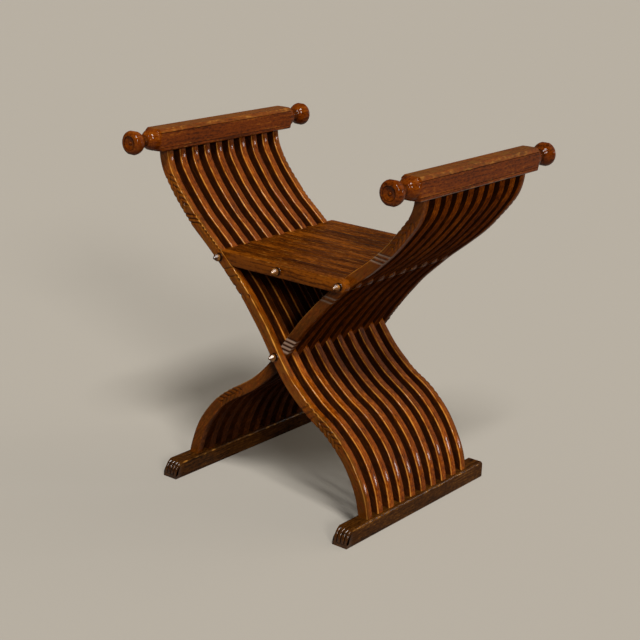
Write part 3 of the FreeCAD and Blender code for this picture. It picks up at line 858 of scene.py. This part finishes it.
button_bodies = dict(pivot="frame_a", seat_left="frame_a", seat_right="frame_b",
                     seat_middle="right_slats")
profile = [(max(radius, BUTTON_POINT) / 1000, length / 1000) for radius, length in BUTTON_PROFILE]
neck_shade = [0.9 if SHADED_NECK[0] < length < SHADED_NECK[1] else 0.0 for radius, length in profile]
wear_and_painted_light = [0.62 if RUBBED_AND_HIGHLIGHTED_HEAD[0] < length < RUBBED_AND_HIGHLIGHTED_HEAD[1] else 0.3 for radius, length in profile]
for which, body in button_bodies.items():
    for end, way in (("front", -1), ("back", 1)):
        node = f"button_{which}_{end}"
        low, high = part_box(node)
        spot = middle(node)
        root = (spot.x, high[1] if way < 0 else low[1], spot.z)
        button = turn_button(node + "_turned", root, profile, way)
        lay_grain(button, (0, 1, 0), node, wear_and_highlight=np.repeat(wear_and_painted_light, BUTTON_ROUND),
                  dirt_and_shade=np.repeat(neck_shade, BUTTON_ROUND))
        button.data.materials.append(button_wood)
        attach(button, body)
        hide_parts(node)


# The arm rails are walnut bars moulded along their edges, with both ends turned on a lathe:
# a rounded end, a waisted neck and a ball with a wide dish and a small boss in its face. Ten
# mortises underneath take the ribs' tenons.
ARM_WIDTH = 0.044
ARM_HEIGHT = 0.044
ARM_LENGTH = 0.405
TOP_CHAMFER = 0.006
LOW_CHAMFER = 0.002
TOP_QUIRK_MARGIN = 0.001
LOW_QUIRK_MARGIN = 0.004
QUIRK_WIDTH = 0.0016
QUIRK_DEPTH = 0.0008
POMMEL = 0.005
COLLAR_RADIUS = 0.014
NECK_RADIUS = 0.010
NECK_REACH = 0.027
BALL_RADIUS = 0.024
BALL_REACH = 0.054
BALL_FRONT = 0.0095
DISH_RADIUS = 0.015
DISH_DEPTH = 0.004
BOSS_RADIUS = 0.0035
BOSS_HEIGHT = 0.002
BEAD_RADIUS = 0.0016
TURNED_STEP = 0.0008
LIP_STEPS = 12
DISH_STEPS = 8
BOSS_STEPS = 5
TIP_RADIUS = 0.0001
ARM_STATIONS = 40
TURNED_WEAR = 0.2
NECK_GRIME = 0.45
NECK_GRIME_REACH = 0.006
# The dish is painted darker, darkest at its rim and round the foot of the boss.
DISH_RIM_DARKENING = 0.6
DISH_DARKENING = 0.2
ARM_DARK = (0.045, 0.0085, 0.0005, 1)
ARM_MIDDLE = (0.145, 0.0270, 0.0010, 1)
ARM_LIGHT = (0.270, 0.0720, 0.0040, 1)
arm_wood = varnished("arm_wood", ARM_DARK, ARM_MIDDLE, ARM_LIGHT, bands=0.10, coat=0.5,
                     coat_roughness=0.06)

arm_half = ARM_WIDTH / 2
arm_corner = math.hypot(arm_half, ARM_HEIGHT / 2)
collar_run = math.sqrt(arm_half ** 2 - COLLAR_RADIUS ** 2)
neck_place = BALL_REACH - NECK_REACH
neck_away = NECK_RADIUS ** 2 + NECK_REACH ** 2
neck_run = math.sqrt(neck_away - BALL_RADIUS ** 2)
touch_radius = BALL_RADIUS * (BALL_RADIUS * NECK_RADIUS + neck_run * NECK_REACH) / neck_away
touch_place = BALL_REACH - math.sqrt(BALL_RADIUS ** 2 - touch_radius ** 2)


def arm_section():
    """Half of the bar's moulded section, from the middle of the underside up to the middle
    of the top, as (across, height, wear, faded)."""
    wide, tall = arm_half, ARM_HEIGHT / 2
    low_quirk = -tall + LOW_CHAMFER + LOW_QUIRK_MARGIN
    top_quirk = tall - TOP_CHAMFER - TOP_QUIRK_MARGIN - QUIRK_WIDTH
    half = [(wide * share, -tall, 0.0, 0.0) for share in (0.3, 0.6)]
    half += [(wide - LOW_CHAMFER, -tall, 0.5, 0.0), (wide, -tall + LOW_CHAMFER, 0.5, 0.0)]
    for base in (low_quirk, top_quirk):
        half += [(wide, base, 0.3, 0.0), (wide - QUIRK_DEPTH, base + QUIRK_WIDTH / 2, -1.0, 0.0),
                 (wide, base + QUIRK_WIDTH, 0.5, 0.0)]
        if base == low_quirk:
            half += [(wide, base + (top_quirk - low_quirk) * share, 0.0, 0.0)
                     for share in (0.3, 0.5, 0.7)]
    half += [(wide - TOP_CHAMFER * share, tall - TOP_CHAMFER * (1 - share), 0.45, 0.6)
             for share in (0.0, 0.08, 0.5, 0.92, 1.0)]
    half += [(wide * share, tall, 0.1, 1.0) for share in (0.55, 0.3)]
    return half


def turned_radius(length):
    """Radius that the lathe leaves at a length beyond the bar's square part."""
    if length < -POMMEL:
        return arm_corner
    if length < 0:
        share = (length + POMMEL) / POMMEL
        return arm_corner + (arm_half - arm_corner) * math.sin(share * math.pi / 2)
    if length < collar_run:
        return math.sqrt(arm_half ** 2 - length ** 2)
    if length < neck_place:
        share = (neck_place - length) / (neck_place - collar_run)
        cove = NECK_RADIUS + (COLLAR_RADIUS - NECK_RADIUS) * share ** 2
        bead = length - collar_run - BEAD_RADIUS
        return cove + math.sqrt(max(BEAD_RADIUS ** 2 - bead ** 2, 0.0))
    if length < touch_place:
        share = (length - neck_place) / (touch_place - neck_place)
        return NECK_RADIUS + (touch_radius - NECK_RADIUS) * share ** 2 * (2 - share)
    return math.sqrt(BALL_RADIUS ** 2 - min(length - BALL_REACH, 0) ** 2)


half = arm_section()
section = half + [(-across, height, rub, fade) for across, height, rub, fade in reversed(half)]
section = [(math.atan2(height, across), math.hypot(across, height), rub, fade)
           for across, height, rub, fade in section]
section.sort()


def arm_end_rings():
    """(length, radius limit, darkening) from the bar's square part out to the dish's boss."""
    rings = []
    for length in np.arange(-POMMEL, BALL_REACH, TURNED_STEP):
        in_neck = abs(length - neck_place) < NECK_GRIME_REACH
        rings.append((length, turned_radius(length), NECK_GRIME if in_neck else 0.0))
    lip = BALL_REACH + BALL_FRONT
    for step in range(LIP_STEPS + 1):
        angle = math.radians(90) * step / LIP_STEPS
        rings.append((BALL_REACH + BALL_FRONT * math.sin(angle),
                      DISH_RADIUS + (BALL_RADIUS - DISH_RADIUS) * math.cos(angle), 0.0))
    for step in range(1, DISH_STEPS + 1):
        share = step / DISH_STEPS
        radius = DISH_RADIUS + (BOSS_RADIUS - DISH_RADIUS) * share
        rings.append((lip - DISH_DEPTH * math.sin(share * math.pi / 2), radius,
                      DISH_RIM_DARKENING if step in (1, DISH_STEPS) else DISH_DARKENING))
    for step in range(1, BOSS_STEPS + 1):
        angle = math.radians(90 / BOSS_STEPS) * step
        rings.append((lip - DISH_DEPTH + BOSS_HEIGHT * math.sin(angle),
                      max(BOSS_RADIUS * math.cos(angle), TIP_RADIUS), 0.0))
    return rings


end_rings = arm_end_rings()
rings = [(-(ARM_LENGTH / 2 + length), *rest) for length, *rest in reversed(end_rings)]
square_end = ARM_LENGTH / 2 - POMMEL
for length in np.linspace(-square_end, square_end, ARM_STATIONS)[1:-1]:
    rings.append((length, 1.0, 0.0))
rings += [(ARM_LENGTH / 2 + length, *rest) for length, *rest in end_rings]

for node, body in (("arm_left", "frame_a"), ("arm_right", "frame_b")):
    centre = middle(node)
    points, wear_and_highlight, dirt_and_shade, faded = [], [], [], []
    for length, limit, darkening in rings:
        turned = abs(length) > ARM_LENGTH / 2
        for angle, radius, rub, fade in section:
            reach = limit if turned else min(radius, limit)
            points.append((centre.x + reach * math.cos(angle), centre.y + length,
                           centre.z + reach * math.sin(angle)))
            wear_and_highlight.append(TURNED_WEAR if turned or limit < radius else max(rub, 0.0))
            dirt_and_shade.append(1.0 if rub < 0 and reach == radius else darkening)
            faded.append(fade if reach == radius else 0.0)
    arm = new_piece(node + "_turned", points, tube_faces(len(rings), len(section)), sharp=30)
    lay_grain(arm, (0, 1, 0), node, wear_and_highlight=wear_and_highlight, dirt_and_shade=dirt_and_shade, faded=faded)
    arm.data.materials.append(arm_wood)
    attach(arm, body)
    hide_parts(node)


# The foot rails are walnut bars that lie on the floor, mortised on top for the ribs. Their
# front ends are carved to a sloping paw of four toes, and their upper edges are rubbed round.
FOOT_WIDTH = 0.034
FOOT_HEIGHT = 0.034
FOOT_BACK = 0.225
FOOT_FRONT = 0.222
PAW_REACH = 0.019
PAW_TOE = 0.008
FOOT_CHAMFER = 0.003
FOOT_STATIONS = 46
PAW_STEPS = 26
TOES = 4
TOE_DEPTH = 0.0034
TOE_START = 2.2
EDGE_WEAR = 0.6
BAR_DULLNESS = 0.8
FOOT_COLUMNS = 40
FOOT_DARK = (0.010, 0.0036, 0.0009, 1)
FOOT_MIDDLE = (0.050, 0.0160, 0.0022, 1)
FOOT_LIGHT = (0.140, 0.0520, 0.0075, 1)
foot_wood = varnished("foot_wood", FOOT_DARK, FOOT_MIDDLE, FOOT_LIGHT, bands=0.05, coat=0.9,
                      coat_roughness=0.12, coat_ior=POLISHED_IOR)

paw_rise = FOOT_HEIGHT - PAW_TOE
paw_bend = (PAW_REACH ** 2 + paw_rise ** 2) / (2 * PAW_REACH)
foot_half = FOOT_WIDTH / 2


def foot_stations():
    """(length, height, share of the toes, forward lean of the surface) along the rail."""
    stations = [(FOOT_BACK, FOOT_HEIGHT - FOOT_CHAMFER, 0.0, 0.0)]
    for length in np.linspace(FOOT_BACK - FOOT_CHAMFER, -FOOT_FRONT, FOOT_STATIONS):
        stations.append((length, FOOT_HEIGHT, 0.0, 0.0))
    tip = -FOOT_FRONT - PAW_REACH
    sweep = math.asin(paw_rise / paw_bend)
    for step in range(1, PAW_STEPS + 1):
        angle = sweep * (1 - step / PAW_STEPS)
        stations.append((tip + paw_bend * (1 - math.cos(angle)),
                         PAW_TOE + paw_bend * math.sin(angle),
                         min(1.0, step / PAW_STEPS * TOE_START), math.cos(angle)))
    return stations


def foot_ring():
    """(across, height share, share of the top surface) once round the rail."""
    ring = []
    for step in range(FOOT_COLUMNS + 1):
        ring.append((foot_half * (2 * step / FOOT_COLUMNS - 1), 1.0, 1.0))
    sides = (0.75, 0.5, 0.25, 0.03)
    ring += [(foot_half, share, 0.0) for share in sides]
    ring += [(foot_half * share, 0.0, 0.0) for share in (0.96, 0.3, -0.3, -0.96)]
    ring += [(-foot_half, share, 0.0) for share in reversed(sides)]
    return ring


stations = foot_stations()
ring = foot_ring()
for node, body in (("foot_rail_left", "frame_b"), ("foot_rail_right", "frame_a")):
    centre = middle(node)
    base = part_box(node)[0][1] + FOOT_FRONT + PAW_REACH
    points, wear_and_highlight, dirt_and_shade, dull = [], [], [], []
    for length, height, share, lean in stations:
        for across, tall, top in ring:
            edge = min((foot_half - abs(across)) / FOOT_CHAMFER, 1)
            drop = top * FOOT_CHAMFER * (1 - math.sqrt(1 - (1 - edge) ** 2))
            toe = abs(math.sin(math.pi * TOES * (across + foot_half) / (2 * foot_half)))
            gouge = top * TOE_DEPTH * share * (1 - toe) ** 1.5
            sink = drop + gouge
            points.append((centre.x + across, base + length + sink * lean,
                           height * tall - sink * math.sqrt(1 - lean ** 2)))
            wear_and_highlight.append(EDGE_WEAR * top * (1 - edge))
            dirt_and_shade.append(top * share * (1 - toe) ** 2)
            dull.append(BAR_DULLNESS * (1 - share))
    rail = new_piece(node + "_carved", points, tube_faces(len(stations), len(ring)), sharp=40)
    lay_grain(rail, (0, 1, 0), node, wear_and_highlight=wear_and_highlight, dirt_and_shade=dirt_and_shade, dull=dull)
    rail.data.materials.append(foot_wood)
    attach(rail, body)
    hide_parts(node)
